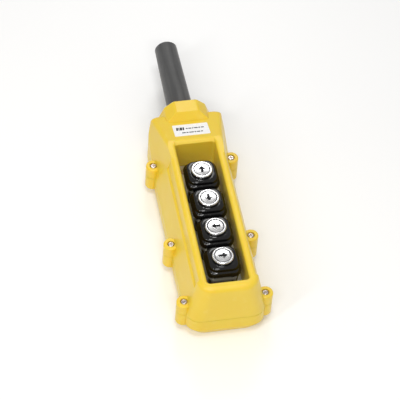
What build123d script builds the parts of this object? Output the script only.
"""Pendant push-button station of a chain hoist, lying on its back cover.

X runs across the body, +Y runs towards the cable sleeve and +Z points out of the buttons.
The origin is under the middle of the whole station, on the plane of the back face.
A "station" below is a distance along the body, measured from its bottom end. Sizes are in mm.
"""

import os

from build123d import *

# Overall sizes
overall_length = 306.0
shell_length = 207.0
shell_half = 34.5
parting_z = 20.0
rim_z = 62.0
wall = 4.0
corner_radius = 10.0
bottom_corner_radius = 13.0
parting_groove = 0.4

# Front cover: sides that slope in to a step under a narrow rim
slope_top_half = 27.2
slope_top_z = 47.0
rim_foot_half = 25.4
rim_foot_z = 48.5
rim_half = 24.3
end_rim_half = 25.6
step_start = 13.0
front_hollow_start = 8.0
step_end = 156.0
side_foot_end = 164.0
side_foot_top_z = 40.0
rim_rounding = 3.0
end_rounding = 5.0
end_block_length = 40.0

# Front cover: the label end, whose sides flare and whose face falls towards the cable end
label_end_start = 148.0
label_end_foot_half = 32.9
label_end_rim_half = 23.4
label_end_flare = 5.9
label_face_start = 168.0
shoulder_z = 52.0
label_rounding = 4.0
label_hollow_foot_half = 30.3
label_hollow_top_half = 24.5
label_hollow_z = 48.0

# Front cover: the button recess
recess_half = 17.8
recess_start = 9.0
recess_end = 164.0
recess_corner = 3.0
recess_rounding = 2.5
recess_lip_length = 4.0
recess_lip_drop = 3.0
floor_z = 30.0
floor_thickness = 2.5
tub_wall = 3.0
rim_hollow_z = 44.0

# Back cover
back_floor = 3.0
back_bevel_height = 8.0
back_bevel_inset = 3.5
back_corner_extra = 2.0
back_hollow_corner = 12.0
back_rounding = 2.0

# Neck round the cable sleeve
neck_half = 25.0
neck_side_half = 23.5
neck_side_z = 42.0
neck_flank_half = 18.5
neck_flank_z = 55.0
neck_top_half = 10.5
neck_start = 192.5
neck_end = 214.0
neck_ramp = 7.5
neck_ramp_rise = 10.5
neck_rounding = 5.0
neck_end_rounding = 1.5
neck_hollow_half = 21.0
neck_hollow_top_half = 14.0
lower_neck_side_z = 13.0
lower_neck_flat_half = 15.0
lower_neck_z = 3.0
neck_wall = 4.0
neck_top_z = 62.0

# Cover screws in their ears
ear_stations = (16.0, 78.5, 168.0)
ear_x = 35.0
ear_radius = 6.5
ear_top = 31.0
ear_bottom = 3.5
ear_bevel = 3.0
ear_taper = 40.0
ear_rounding = 1.0
screw_radius = 1.5
screw_hole_radius = 1.7
screw_head_radius = 2.75
screw_head_height = 2.0
counterbore_radius = 3.3
counterbore_depth = 2.3
cover_screw_tip = 9.0

# Gasket between the covers
gasket_outer_inset = 1.8
gasket_inner_inset = 3.1
gasket_height = 1.2

# Cable sleeve
sleeve_z = 33.0
sleeve_bore = 7.0
sleeve_groove = 11.0
sleeve_flange = 12.8
sleeve_tail_radius = 10.2
sleeve_root_radius = 11.8
sleeve_lip_radius = 12.5
sleeve_tip_radius = 10.2
sleeve_tail_start = 196.0
sleeve_flange_length = 3.0
band_start = 197.5
band_length = 7.0
band_thickness = 1.0
band_lug_width = 9.0
band_lug_height = 5.0
band_screw_half = 6.0
band_head_radius = 2.6
band_head_height = 2.0

# Buttons
button_stations = (35.0, 67.0, 99.0, 131.0)
travel = 4.0
soft_gap = 0.4
boot_half = 14.5
boot_neck_half = 12.2
boot_lip_half = 13.6
boot_lip_z = 26.0
boot_shoulder_z = 55.5
boot_top_z = 60.3
boot_tier_half = 11.2
boot_wall = 2.0
boot_corner = 8.0
boot_neck_corner = 5.0
boot_tier_corner = 7.5
boot_shoulder_rounding = 2.6
boot_foot_rounding = 1.0
boot_tier_rounding = 1.4
boot_top_thickness = 2.3
boot_hole_radius = 3.0
cap_radius = 9.1
cap_top_z = 63.2
cap_stud_radius = 2.5
cap_stud_length = 6.5
cap_ring_inner = 7.4
cap_groove_depth = 0.9
cap_face_radius = 6.5
cap_face_z = 62.8
cap_crown = 0.3
arrow_height = 0.5
spring_radius = 5.4
spring_wire_radius = 0.55
spring_turns = 7
stem_radius = 4.0
stem_tip_radius = 2.5
guide_clearance = 0.06
head_radius = 8.6
head_bottom_z = 50.0

# Contacts
plate_bottom_z = 5.0
plate_thickness = 1.5
block_half_width = 24.0
block_core_half = 14.0
block_half_length = 15.0
block_shoulder_z = 19.0
block_top_z = 25.0
chamber_half = 13.0
chamber_floor_z = 8.0
chamber_top_z = 18.0
strip_width = 6.0
strip_thickness = 1.0
tip_radius = 2.0
tip_height = 0.8
tip_x = 9.0
bridge_thickness = 1.2
bridge_half = 11.5
contact_gap_left = 0.05
clip_thickness = 1.0
clip_radius = 4.2
clip_mouth = 2.6
terminal_x = 20.0
small_screw_radius = 1.25
small_head_radius = 2.4
small_head_height = 1.7
block_screw_x = 18.5
block_screw_y = 11.0
terminal_screw_tip = 13.0
plate_start = 10.0
plate_end = 156.0
plate_half = 25.0
plate_screw_inset = 4.5
plate_screw_x = 17.0
plate_boss_radius = 4.0

# Retaining plate on the recess floor
retainer_thickness = 1.5
retainer_gap = 0.2
retainer_boss_radius = 3.2
retainer_screw_x = 10.0
retainer_screw_stations = (14.0, 156.0)

# Cord clamp inside the label end
clamp_station = 181.0
clamp_half_length = 4.5
clamp_half_width = 16.0
clamp_screw_x = 12.0
cord_radius = 6.5
clamp_screw_tip = 14.0
cradle_top_z = 28.0
saddle_bottom_z = 35.0
saddle_top_z = 42.0

label_width = 31.5
label_height = 17.0
label_thickness = 0.4
label_corner = 0.8
label_station = 181.0

os.makedirs("parts", exist_ok=True)


def along(station):
    """The Y coordinate of a station."""
    return station - overall_length / 2


def across_plane(station):
    """A plane across the body whose local Y is up and whose normal points to the cable end."""
    return Plane(origin=(0, along(station), 0), x_dir=(-1, 0, 0), z_dir=(0, 1, 0))


def save(piece, name):
    """Labels a finished piece and writes its STEP file."""
    piece.part.label = name
    export_step(piece.part, f"parts/{name}.step")


def side_half(z):
    """Half the front cover's width at height z, on its sloping side below the step."""
    return shell_half + (slope_top_half - shell_half) * (z - parting_z) / (slope_top_z - parting_z)


def trapezoid(low_half, low, high_half, high):
    """A cross-section with straight leaning sides."""
    return [(-low_half, low), (low_half, low), (high_half, high), (-high_half, high)]


def run(section, start, end, mode=Mode.ADD):
    """Runs a closed outline of (x, z) points along the body between two stations."""
    with BuildSketch(across_plane(start)) as outline:
        Polygon(*section, align=None)
    extrude(outline.sketch, amount=end - start, mode=mode)


def rounded_off(first, middle, last, corner, half):
    """Cuts a crossing edge back to an arc through three (station, z) points, over half each way."""
    with BuildSketch(Plane.YZ) as waste:
        with BuildLine():
            arc_points = [(along(station), z) for station, z in (first, middle, last)]
            ThreePointArc(*arc_points)
            Polyline(arc_points[2], (along(corner[0]), corner[1]), arc_points[0])
        make_face()
    extrude(waste.sketch, amount=half, both=True, mode=Mode.SUBTRACT)


def block(half, start, end, low, high, radius=0.0, mode=Mode.ADD):
    """An upright block with rounded corners, centred across the body, between two stations."""
    with BuildSketch(Plane.XY.offset(low)) as outline:
        with Locations((0, along((start + end) / 2))):
            if radius > 0:
                RectangleRounded(2 * half, end - start, radius)
            else:
                Rectangle(2 * half, end - start)
    extrude(outline.sketch, amount=high - low, mode=mode)


def pegs(points, low, high, radius, mode=Mode.ADD):
    """Upright cylinders at plan points, from height low to height high."""
    with BuildSketch(Plane.XY.offset(low)) as circles:
        with Locations(*points):
            Circle(radius)
    extrude(circles.sketch, amount=high - low, mode=mode)


def square(half, station, low, high, radius, mode=Mode.ADD, taper=0.0):
    """An upright rounded square centred on the body's middle line."""
    with BuildSketch(Plane.XY.offset(low)) as outline:
        with Locations((0, along(station))):
            RectangleRounded(2 * half, 2 * half, radius)
    extrude(outline.sketch, amount=high - low, mode=mode, taper=taper)


def body_outline(inset, extra=0.0):
    """The body's plan outline moved inwards, with its corner radii changed by an extra."""
    with Locations((0, along(shell_length / 2))):
        Rectangle(2 * (shell_half - inset), shell_length - 2 * inset)
    fillet(vertices().group_by(Axis.Y)[0], bottom_corner_radius - inset + extra)
    fillet(vertices().group_by(Axis.Y)[-1], corner_radius - inset + extra)


def outline_at_parting(inset):
    """The outline of both covers at the parting plane, body and neck together, moved inwards."""
    body_outline(inset)
    with Locations((0, along((neck_start + neck_end - inset) / 2))):
        Rectangle(2 * (neck_half - inset), neck_end - inset - neck_start)


def screws(points, tip_z, seat_z, shank, head, height):
    """Pan head screws with a cross slot, one solid for each point."""
    pegs(points, tip_z, seat_z, shank)
    pegs(points, seat_z, seat_z + height, head)
    fillet(edges().group_by(Axis.Z)[-1], height * 0.4)
    with BuildSketch(Plane.XY.offset(seat_z + height)) as slots:
        with Locations(*points):
            Rectangle(head * 1.1, head * 0.26)
            Rectangle(head * 0.26, head * 1.1)
    extrude(slots.sketch, amount=-height * 0.55, mode=Mode.SUBTRACT)


def both_sides(x, stations):
    """Plan points at plus and minus x, at each station."""
    return [(side * x, along(station)) for side in (-1, 1) for station in stations]


ear_points = both_sides(ear_x, ear_stations)
retainer_points = both_sides(retainer_screw_x, retainer_screw_stations)
plate_points = both_sides(plate_screw_x, (plate_start + plate_screw_inset, plate_end - plate_screw_inset))
clamp_points = both_sides(clamp_screw_x, (clamp_station,))
block_screw_points = [
    (side * block_screw_x, along(station) + side * block_screw_y)
    for side in (-1, 1)
    for station in button_stations
]

# ---------------------------------------------------------------- the two covers

neck_section = [
    (-neck_half, parting_z),
    (neck_half, parting_z),
    (neck_side_half, neck_side_z),
    (neck_flank_half, neck_flank_z),
    (neck_top_half, neck_top_z),
    (-neck_top_half, neck_top_z),
    (-neck_flank_half, neck_flank_z),
    (-neck_side_half, neck_side_z),
]
neck_hollow = [
    (-neck_hollow_half, parting_z),
    (neck_hollow_half, parting_z),
    (neck_hollow_half, neck_side_z - 2),
    (neck_hollow_top_half, label_hollow_z),
    (-neck_hollow_top_half, label_hollow_z),
    (-neck_hollow_half, neck_side_z - 2),
]
lower_neck_section = [
    (-neck_half, parting_z),
    (-neck_half, lower_neck_side_z),
    (-lower_neck_flat_half, lower_neck_z),
    (lower_neck_flat_half, lower_neck_z),
    (neck_half, lower_neck_side_z),
    (neck_half, parting_z),
]
lower_neck_hollow = [
    (-neck_hollow_half, parting_z),
    (-neck_hollow_half, lower_neck_side_z + 1.5),
    (1.5 - lower_neck_flat_half, lower_neck_z + 4),
    (lower_neck_flat_half - 1.5, lower_neck_z + 4),
    (neck_hollow_half, lower_neck_side_z + 1.5),
    (neck_hollow_half, parting_z),
]

# the neck is shaped first: a half octagon with a ramp at its front and softened edges
with BuildPart() as neck_block:
    run(neck_section, neck_start, neck_end)
    with BuildSketch(Plane.YZ) as ramp:
        Polygon(
            (along(neck_start), neck_top_z - neck_ramp_rise),
            (along(neck_start + neck_ramp), neck_top_z),
            (along(neck_start + neck_ramp), neck_top_z + 5),
            (along(neck_start) - 1, neck_top_z + 5),
            (along(neck_start) - 1, neck_top_z - neck_ramp_rise),
            align=None,
        )
    extrude(ramp.sketch, amount=shell_half, both=True, mode=Mode.SUBTRACT)
    long_edges = [e for e in edges() if abs((e % 0.5).Y) > 0.99 and e.center().Z > parting_z + 1]
    fillet(long_edges, neck_rounding)
    end_edges = [
        e for e in edges() if abs(e.center().Y - along(neck_end)) < 0.1 and e.center().Z > parting_z + 5
    ]
    fillet(end_edges, neck_end_rounding)

# the label end flares towards the cable, and its face falls the same way
with BuildPart() as label_end:
    with BuildSketch(across_plane(label_end_start)) as narrow_end:
        Polygon(*trapezoid(label_end_foot_half, parting_z, label_end_rim_half, rim_z), align=None)
    with BuildSketch(across_plane(shell_length)) as flared_end:
        Polygon(
            *trapezoid(
                label_end_foot_half + label_end_flare,
                parting_z,
                label_end_rim_half + label_end_flare,
                rim_z,
            ),
            align=None,
        )
    loft([narrow_end.sketch, flared_end.sketch])
    block(
        shell_half,
        label_end_start - corner_radius,
        shell_length,
        parting_z,
        rim_z,
        corner_radius,
        Mode.INTERSECT,
    )
    with BuildSketch(Plane.YZ) as fall:
        Polygon(
            (along(label_face_start), rim_z),
            (along(shell_length), shoulder_z),
            (along(shell_length + 5), shoulder_z),
            (along(shell_length + 5), rim_z + 5),
            (along(label_face_start), rim_z + 5),
            align=None,
        )
    extrude(fall.sketch, amount=2 * shell_half, both=True, mode=Mode.SUBTRACT)
    label_face = [f for f in faces() if 0.5 < f.normal_at().Z < 0.99 and f.center().Z > shoulder_z]
    outer_edges = [
        e
        for f in label_face
        for e in f.edges()
        if abs((e % 0.5).X) < 0.99 or e.center().Y > along(neck_start)
    ]
    fillet(outer_edges, label_rounding)

# the bottom end is plain and well rounded, without the step
with BuildPart() as bottom_end:
    run(trapezoid(shell_half, parting_z, end_rim_half, rim_z), 0, end_block_length)
    corners = [e for e in edges() if abs((e % 0.5).Z) > 0.8 and e.center().Y < along(1)]
    fillet(corners, bottom_corner_radius)
    top_face = faces().sort_by(Axis.Z)[-1]
    fillet([e for e in top_face.edges() if e.center().Y < along(end_block_length - 1)], end_rounding)
    block(shell_half + 1, step_start, end_block_length + 1, parting_z, rim_z, 0, Mode.SUBTRACT)

side_section = [
    (-shell_half, parting_z),
    (shell_half, parting_z),
    (slope_top_half, slope_top_z),
    (rim_foot_half, rim_foot_z),
    (rim_half, rim_z),
    (-rim_half, rim_z),
    (-rim_foot_half, rim_foot_z),
    (-slope_top_half, slope_top_z),
]
with BuildPart() as front_cover:
    run(side_section, step_start, step_end)
    rim_edges = [e for e in edges() if abs((e % 0.5).Y) > 0.99 and e.center().Z > rim_z - 1]
    fillet(rim_edges, rim_rounding)
    run(
        trapezoid(shell_half, parting_z, side_half(side_foot_top_z), side_foot_top_z),
        step_start,
        side_foot_end,
    )
    add(bottom_end.part)
    add(label_end.part)
    add(neck_block.part)
    pegs(ear_points, parting_z, ear_top, ear_radius)
    ear_rims = [e for e in edges().filter_by(GeomType.CIRCLE) if abs(e.center().Z - ear_top) < 0.01]
    fillet(ear_rims, ear_rounding)
    # hollow inside, left solid round the recess
    run(
        trapezoid(shell_half - wall, parting_z, side_half(rim_hollow_z) - wall, rim_hollow_z),
        front_hollow_start,
        recess_end + tub_wall + 1,
        Mode.SUBTRACT,
    )
    run(
        trapezoid(label_hollow_foot_half, parting_z, label_hollow_top_half, label_hollow_z),
        recess_end + tub_wall,
        shell_length - wall,
        Mode.SUBTRACT,
    )
    run(neck_hollow, shell_length - wall - 1, neck_end - neck_wall, Mode.SUBTRACT)
    block(
        recess_half + tub_wall,
        recess_start - tub_wall,
        recess_end + tub_wall,
        floor_z - floor_thickness,
        rim_hollow_z + 2,
        recess_corner + tub_wall,
    )
    block(recess_half, recess_start, recess_end, floor_z, rim_z + 1, recess_corner, Mode.SUBTRACT)
    pegs(retainer_points, floor_z - 7, floor_z - floor_thickness, retainer_boss_radius)
    pegs(retainer_points, floor_z - 6, floor_z, small_screw_radius, Mode.SUBTRACT)
    for station in button_stations:
        square(boot_neck_half, station, floor_z - floor_thickness, floor_z, boot_neck_corner, Mode.SUBTRACT)
    # screw holes and the sleeve's hole
    pegs(ear_points, parting_z, ear_top, screw_hole_radius, Mode.SUBTRACT)
    pegs(ear_points, ear_top - counterbore_depth, ear_top, counterbore_radius, Mode.SUBTRACT)
    with BuildSketch(across_plane(neck_end - neck_wall)) as sleeve_hole:
        with Locations((0, sleeve_z)):
            Circle(sleeve_groove)
    extrude(sleeve_hole.sketch, amount=neck_wall, mode=Mode.SUBTRACT)
    recess_edges = [
        e
        for e in edges()
        if abs(e.center().Z - rim_z) < 0.01
        and abs(e.center().X) < recess_half + 0.1
        and along(recess_start - 1) < e.center().Y < along(recess_end + 1)
    ]
    fillet(recess_edges, recess_rounding)
    rounded_off(
        (recess_end - 1, rim_z - recess_lip_drop - 0.5),
        (recess_end + 0.35 * recess_lip_length, rim_z - 0.3 * recess_lip_drop),
        (recess_end + recess_lip_length, rim_z),
        (recess_end - 1, rim_z + 1),
        recess_half,
    )
    parting_outline = faces().sort_by(Axis.Z)[0].outer_wire().edges()
    chamfer(parting_outline, parting_groove)
save(front_cover, "front_cover")

with BuildPart() as cover_gasket:
    with BuildSketch(Plane.XY.offset(parting_z - gasket_height)) as ring_outside:
        outline_at_parting(gasket_outer_inset)
    with BuildSketch(Plane.XY.offset(parting_z - gasket_height)) as ring_inside:
        outline_at_parting(gasket_inner_inset)
    extrude(ring_outside.sketch, amount=gasket_height)
    extrude(ring_inside.sketch, amount=gasket_height, mode=Mode.SUBTRACT)
save(cover_gasket, "cover_gasket")

with BuildPart() as back_cover:
    with BuildSketch(Plane.XY) as back_face:
        body_outline(back_bevel_inset, back_bevel_inset + back_corner_extra)
    with BuildSketch(Plane.XY.offset(back_bevel_height)) as bevel_top:
        body_outline(0)
    loft([back_face.sketch, bevel_top.sketch])
    extrude(bevel_top.sketch, amount=parting_z - back_bevel_height)
    fillet(edges().group_by(Axis.Z)[0], back_rounding)
    run(lower_neck_section, neck_start, neck_end)
    with BuildSketch(Plane.XY.offset(ear_bottom + ear_bevel)) as ear_circles:
        with Locations(*ear_points):
            Circle(ear_radius)
    extrude(ear_circles.sketch, amount=parting_z - ear_bottom - ear_bevel)
    extrude(ear_circles.sketch, amount=-ear_bevel, taper=ear_taper)
    # hollow inside
    block(
        shell_half - wall,
        wall,
        shell_length - wall,
        back_floor,
        parting_z,
        back_hollow_corner,
        Mode.SUBTRACT,
    )
    run(lower_neck_hollow, shell_length - wall - 1, neck_end - neck_wall, Mode.SUBTRACT)
    # bosses under the mounting plate, and the cradle of the cord clamp
    pegs(plate_points, back_floor, plate_bottom_z, plate_boss_radius)
    pegs(plate_points, back_floor / 2, plate_bottom_z, small_screw_radius, Mode.SUBTRACT)
    block(
        clamp_half_width,
        clamp_station - clamp_half_length,
        clamp_station + clamp_half_length,
        back_floor,
        cradle_top_z,
    )
    with BuildSketch(across_plane(clamp_station - clamp_half_length)) as cord_notch:
        with Locations((0, sleeve_z)):
            Circle(cord_radius)
    extrude(cord_notch.sketch, amount=2 * clamp_half_length, mode=Mode.SUBTRACT)
    pegs(clamp_points, clamp_screw_tip, cradle_top_z, screw_radius, Mode.SUBTRACT)
    pegs(ear_points, cover_screw_tip, parting_z, screw_radius, Mode.SUBTRACT)
    add(cover_gasket.part, mode=Mode.SUBTRACT)
save(back_cover, "back_cover")

with BuildPart() as cover_screws:
    screws(
        ear_points,
        cover_screw_tip,
        ear_top - counterbore_depth,
        screw_radius,
        screw_head_radius,
        screw_head_height,
    )
save(cover_screws, "cover_screws")

label_slope = (rim_z - shoulder_z) / (shell_length - label_face_start)
label_plane = Plane(
    origin=(0, along(label_station), rim_z - (label_station - label_face_start) * label_slope),
    x_dir=(1, 0, 0),
    z_dir=(0, label_slope, 1),
)
with BuildPart() as name_label:
    with BuildSketch(label_plane):
        RectangleRounded(label_width, label_height, label_corner)
    extrude(amount=label_thickness)
save(name_label, "name_label")

# ---------------------------------------------------------------- recess floor and buttons

with BuildPart() as boot_retaining_plate:
    block(
        recess_half - retainer_gap,
        recess_start + retainer_gap,
        recess_end - retainer_gap,
        floor_z,
        floor_z + retainer_thickness,
        recess_corner - retainer_gap,
    )
    for station in button_stations:
        square(
            boot_neck_half,
            station,
            floor_z,
            floor_z + retainer_thickness,
            boot_neck_corner,
            Mode.SUBTRACT,
        )
    pegs(retainer_points, floor_z, floor_z + retainer_thickness, small_screw_radius, Mode.SUBTRACT)
save(boot_retaining_plate, "boot_retaining_plate")

with BuildPart() as retaining_plate_screws:
    screws(
        retainer_points,
        floor_z - 5.5,
        floor_z + retainer_thickness,
        small_screw_radius,
        small_head_radius,
        small_head_height,
    )
save(retaining_plate_screws, "retaining_plate_screws")

strip_top_z = chamber_floor_z + strip_thickness
closed_tip_z = strip_top_z + tip_height
tip_bottom_z = closed_tip_z + travel + contact_gap_left
bridge_bottom_z = tip_bottom_z + tip_height
bridge_top_z = bridge_bottom_z + bridge_thickness
stem_tip_z = bridge_bottom_z - clip_thickness - 1.2
skirt_bottom_z = floor_z + retainer_thickness
boot_ceiling_z = boot_top_z - boot_top_thickness
head_top_z = boot_ceiling_z - soft_gap
cap_bottom_z = boot_top_z + soft_gap


def arrow(number, top_z):
    """A raised arrow on a cap: up, down, left or right for buttons 1 to 4."""
    turn = (0, 180, 90, -90)[number - 1]
    with BuildSketch(Plane.XY.offset(top_z)) as sign:
        with Locations(Location((0, along(button_stations[-number]), 0), (0, 0, turn))):
            Polygon((-3.4, 0), (3.4, 0), (0, 4.0), align=None)
            with Locations((0, -1.9)):
                Rectangle(2.4, 4.0)
    extrude(sign.sketch, amount=arrow_height)


for number in range(1, len(button_stations) + 1):
    station = button_stations[-number]
    centre = along(station)

    # rubber boot: lip under the floor, neck through it, skirt, shoulder and a narrower top tier
    with BuildPart() as rubber_boot:
        square(boot_half, station, skirt_bottom_z, boot_shoulder_z, boot_corner)
        fillet(edges().group_by(Axis.Z)[-1], boot_shoulder_rounding)
        fillet(edges().group_by(Axis.Z)[0], boot_foot_rounding)
        square(boot_tier_half, station, boot_shoulder_z - 2, boot_top_z, boot_tier_corner)
        fillet(edges().group_by(Axis.Z)[-1], boot_tier_rounding)
        square(boot_neck_half, station, floor_z - floor_thickness, skirt_bottom_z, boot_neck_corner)
        square(boot_lip_half, station, boot_lip_z, floor_z - floor_thickness, boot_neck_corner)
        square(
            boot_neck_half - boot_wall,
            station,
            boot_lip_z,
            boot_shoulder_z - boot_top_thickness,
            boot_neck_corner - 1,
            Mode.SUBTRACT,
        )
        square(
            boot_tier_half - boot_wall,
            station,
            boot_shoulder_z - boot_top_thickness,
            boot_ceiling_z,
            boot_tier_corner - boot_wall,
            Mode.SUBTRACT,
        )
        pegs([(0, centre)], boot_ceiling_z, boot_top_z, boot_hole_radius, Mode.SUBTRACT)
    save(rubber_boot, f"rubber_boot_{number}")

    # cap: a turned disc with a raised ring, a groove and a low crowned face
    with BuildPart() as button_cap:
        with BuildSketch(Plane(origin=(0, centre, 0), x_dir=(1, 0, 0), z_dir=(0, -1, 0))) as cap_half:
            with BuildLine():
                Polyline(
                    (0, cap_bottom_z - cap_stud_length),
                    (cap_stud_radius, cap_bottom_z - cap_stud_length),
                    (cap_stud_radius, cap_bottom_z),
                    (cap_radius - 0.4, cap_bottom_z),
                    (cap_radius, cap_bottom_z + 0.4),
                    (cap_radius, cap_top_z - 0.8),
                )
                RadiusArc((cap_radius, cap_top_z - 0.8), (cap_radius - 0.8, cap_top_z), -0.8)
                Polyline(
                    (cap_radius - 0.8, cap_top_z),
                    (cap_ring_inner, cap_top_z),
                    (cap_ring_inner - 0.3, cap_top_z - cap_groove_depth),
                    (cap_face_radius + 0.3, cap_top_z - cap_groove_depth),
                    (cap_face_radius, cap_face_z),
                )
                ThreePointArc(
                    (cap_face_radius, cap_face_z),
                    (cap_face_radius / 2, cap_face_z + 0.75 * cap_crown),
                    (0, cap_face_z + cap_crown),
                )
                Line((0, cap_face_z + cap_crown), (0, cap_bottom_z - cap_stud_length))
            make_face()
        revolve(cap_half.sketch, axis=Axis((0, centre, 0), (0, 0, 1)))
        arrow(number, cap_face_z)
    save(button_cap, f"button_cap_{number}")

    # plunger: head under the boot's top, stem, and a thinner tip that carries the bridge
    with BuildPart() as plunger:
        pegs([(0, centre)], stem_tip_z, bridge_top_z, stem_tip_radius)
        chamfer(edges().group_by(Axis.Z)[0], 0.4)
        pegs([(0, centre)], bridge_top_z, head_bottom_z, stem_radius)
        pegs([(0, centre)], head_bottom_z, head_top_z, head_radius)
        chamfer(edges().group_by(Axis.Z)[-1], 1.5)
        pegs([(0, centre)], cap_bottom_z - cap_stud_length, head_top_z, cap_stud_radius, Mode.SUBTRACT)
    save(plunger, f"plunger_{number}")

    with BuildPart() as return_spring:
        spring_height = head_bottom_z - block_top_z - 2 * spring_wire_radius - 0.1
        spring_start = block_top_z + spring_wire_radius + 0.05
        with BuildLine() as coil:
            Helix(
                pitch=spring_height / spring_turns,
                height=spring_height,
                radius=spring_radius,
                center=(0, centre, spring_start),
            )
        with BuildSketch(Plane(origin=coil.line @ 0, z_dir=coil.line % 0)) as wire:
            Circle(spring_wire_radius)
        sweep(wire.sketch, path=coil.line, is_frenet=True)
    save(return_spring, f"return_spring_{number}")

    # moulded contact block: a bridge-shaped body with a guide bore over an open chamber
    with BuildPart() as contact_block:
        with BuildSketch(across_plane(station - block_half_length)) as block_section:
            Polygon(
                (-block_half_width, plate_bottom_z + plate_thickness),
                (block_half_width, plate_bottom_z + plate_thickness),
                (block_half_width, block_shoulder_z),
                (block_core_half, block_shoulder_z),
                (block_core_half, block_top_z),
                (-block_core_half, block_top_z),
                (-block_core_half, block_shoulder_z),
                (-block_half_width, block_shoulder_z),
                align=None,
            )
        extrude(block_section.sketch, amount=2 * block_half_length)
        chamfer([e for e in edges() if abs(e.center().Z - block_top_z) < 0.01], 0.8)
        with Locations((0, centre, (chamber_floor_z + chamber_top_z) / 2)):
            Box(
                2 * chamber_half,
                2 * block_half_length,
                chamber_top_z - chamber_floor_z,
                mode=Mode.SUBTRACT,
            )
        pegs([(0, centre)], chamber_top_z, block_top_z, stem_radius + guide_clearance, Mode.SUBTRACT)
        slot_middle = chamber_floor_z + strip_thickness / 2
        with Locations((0, centre, slot_middle)):
            Box(2 * block_half_width, strip_width, strip_thickness, mode=Mode.SUBTRACT)
        pegs(
            [(side * terminal_x, centre) for side in (-1, 1)],
            terminal_screw_tip,
            block_shoulder_z,
            screw_radius,
            Mode.SUBTRACT,
        )
        pegs(
            [(side * block_screw_x, centre + side * block_screw_y) for side in (-1, 1)],
            plate_bottom_z + plate_thickness,
            block_shoulder_z,
            screw_radius,
            Mode.SUBTRACT,
        )
    save(contact_block, f"contact_block_{number}")

    # two brass strips: a foot with a contact tip inside, and a tab under the terminal screw
    with BuildPart() as fixed_contacts:
        for side in (-1, 1):
            strip_plane = Plane(origin=(0, centre - strip_width / 2, 0), x_dir=(1, 0, 0), z_dir=(0, -1, 0))
            with BuildSketch(strip_plane) as strip:
                Polygon(
                    *[
                        (side * x, z)
                        for x, z in (
                            (tip_x - 3, chamber_floor_z),
                            (block_half_width + strip_thickness, chamber_floor_z),
                            (block_half_width + strip_thickness, block_shoulder_z + strip_thickness),
                            (terminal_x - 3, block_shoulder_z + strip_thickness),
                            (terminal_x - 3, block_shoulder_z),
                            (block_half_width, block_shoulder_z),
                            (block_half_width, strip_top_z),
                            (tip_x - 3, strip_top_z),
                        )
                    ],
                    align=None,
                )
            extrude(strip.sketch, amount=-strip_width)
        pegs([(side * tip_x, centre) for side in (-1, 1)], strip_top_z, closed_tip_z, tip_radius)
        pegs(
            [(side * terminal_x, centre) for side in (-1, 1)],
            block_shoulder_z,
            block_shoulder_z + strip_thickness,
            screw_radius,
            Mode.SUBTRACT,
        )
    save(fixed_contacts, f"fixed_contacts_{number}")

    with BuildPart() as moving_bridge:
        with BuildSketch(Plane.XY.offset(bridge_bottom_z)) as bar:
            with Locations((0, centre)):
                SlotOverall(2 * bridge_half, strip_width)
                Circle(stem_tip_radius, mode=Mode.SUBTRACT)
        extrude(bar.sketch, amount=bridge_thickness)
        pegs([(side * tip_x, centre) for side in (-1, 1)], tip_bottom_z, bridge_bottom_z, tip_radius)
    save(moving_bridge, f"moving_bridge_{number}")

    with BuildPart() as bridge_clip:
        with BuildSketch(Plane.XY.offset(bridge_bottom_z - clip_thickness)) as clip:
            with Locations((0, centre)):
                Circle(clip_radius)
                Circle(stem_tip_radius, mode=Mode.SUBTRACT)
            with Locations((0, centre - clip_radius)):
                Rectangle(clip_mouth, 2 * clip_radius, mode=Mode.SUBTRACT)
        extrude(clip.sketch, amount=clip_thickness)
    save(bridge_clip, f"bridge_clip_{number}")

# ---------------------------------------------------------------- inside the back cover

with BuildPart() as mounting_plate:
    block(plate_half, plate_start, plate_end, plate_bottom_z, plate_bottom_z + plate_thickness, 3.0)
    pegs(plate_points, plate_bottom_z, plate_bottom_z + plate_thickness, small_screw_radius, Mode.SUBTRACT)
    pegs(block_screw_points, plate_bottom_z, plate_bottom_z + plate_thickness, screw_radius, Mode.SUBTRACT)
save(mounting_plate, "mounting_plate")

with BuildPart() as mounting_plate_screws:
    screws(
        plate_points,
        back_floor / 2,
        plate_bottom_z + plate_thickness,
        small_screw_radius,
        small_head_radius,
        small_head_height,
    )
save(mounting_plate_screws, "mounting_plate_screws")

with BuildPart() as contact_block_screws:
    screws(
        block_screw_points,
        plate_bottom_z,
        block_shoulder_z,
        screw_radius,
        screw_head_radius,
        screw_head_height,
    )
save(contact_block_screws, "contact_block_screws")

with BuildPart() as terminal_screws:
    screws(
        both_sides(terminal_x, button_stations),
        terminal_screw_tip,
        block_shoulder_z + strip_thickness,
        screw_radius,
        screw_head_radius,
        screw_head_height,
    )
save(terminal_screws, "terminal_screws")

with BuildPart() as cord_clamp_saddle:
    block(
        clamp_half_width,
        clamp_station - clamp_half_length,
        clamp_station + clamp_half_length,
        saddle_bottom_z,
        saddle_top_z,
    )
    chamfer([e for e in edges() if abs(e.center().Z - saddle_top_z) < 0.01], 1.0)
    with BuildSketch(across_plane(clamp_station - clamp_half_length)) as saddle_notch:
        with Locations((0, sleeve_z)):
            Circle(cord_radius)
    extrude(saddle_notch.sketch, amount=2 * clamp_half_length, mode=Mode.SUBTRACT)
    pegs(clamp_points, saddle_bottom_z, saddle_top_z, screw_radius, Mode.SUBTRACT)
save(cord_clamp_saddle, "cord_clamp_saddle")

with BuildPart() as cord_clamp_screws:
    screws(
        clamp_points,
        clamp_screw_tip,
        saddle_top_z,
        screw_radius,
        screw_head_radius,
        screw_head_height,
    )
save(cord_clamp_screws, "cord_clamp_screws")

# ---------------------------------------------------------------- cable sleeve and its clamp band

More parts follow.
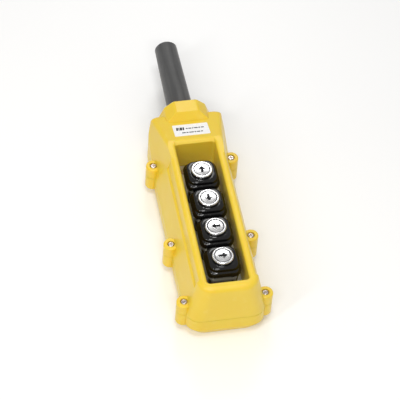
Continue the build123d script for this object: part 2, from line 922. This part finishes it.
sleeve_axis = Axis((0, 0, sleeve_z), (0, 1, 0))
with BuildPart() as cable_sleeve:
    with BuildSketch(Plane.YZ) as sleeve_half:
        with BuildLine():
            Polyline(
                *[
                    (along(station), sleeve_z + radius)
                    for station, radius in (
                        (sleeve_tail_start, sleeve_bore),
                        (sleeve_tail_start, sleeve_tail_radius),
                        (neck_end - neck_wall - sleeve_flange_length, sleeve_tail_radius),
                        (neck_end - neck_wall - sleeve_flange_length, sleeve_flange),
                        (neck_end - neck_wall, sleeve_flange),
                        (neck_end - neck_wall, sleeve_groove),
                        (neck_end, sleeve_groove),
                        (neck_end, sleeve_lip_radius),
                        (neck_end + 2.5, sleeve_lip_radius),
                        (neck_end + 3.5, sleeve_root_radius),
                        (overall_length - 1.5, sleeve_tip_radius),
                        (overall_length, sleeve_tip_radius - 1.3),
                        (overall_length, sleeve_bore),
                    )
                ],
                close=True,
            )
        make_face()
    revolve(sleeve_half.sketch, axis=sleeve_axis)
save(cable_sleeve, "cable_sleeve")

band_middle_y = along(band_start + band_length / 2)
band_screw_z = sleeve_z - sleeve_tail_radius - band_thickness - screw_radius - 0.3
with BuildPart() as sleeve_band:
    with BuildSketch(across_plane(band_start)) as band_ring:
        with Locations((0, sleeve_z)):
            Circle(sleeve_tail_radius + band_thickness)
        with Locations((0, sleeve_z - sleeve_tail_radius - band_lug_height / 2)):
            Rectangle(band_lug_width, band_lug_height)
        with Locations((0, sleeve_z)):
            Circle(sleeve_tail_radius, mode=Mode.SUBTRACT)
    extrude(band_ring.sketch, amount=band_length)
    with BuildSketch(Plane.YZ.offset(-band_screw_half)) as screw_bore:
        with Locations((band_middle_y, band_screw_z)):
            Circle(screw_radius)
    extrude(screw_bore.sketch, amount=2 * band_screw_half, mode=Mode.SUBTRACT)
save(sleeve_band, "sleeve_band")

with BuildPart() as sleeve_band_screw:
    with BuildSketch(Plane.YZ.offset(-band_screw_half)) as band_shank:
        with Locations((band_middle_y, band_screw_z)):
            Circle(screw_radius)
    extrude(band_shank.sketch, amount=2 * band_screw_half)
    with BuildSketch(Plane.YZ.offset(band_screw_half)) as band_head:
        with Locations((band_middle_y, band_screw_z)):
            RegularPolygon(band_head_radius, 6)
    extrude(band_head.sketch, amount=band_head_height)
save(sleeve_band_screw, "sleeve_band_screw")
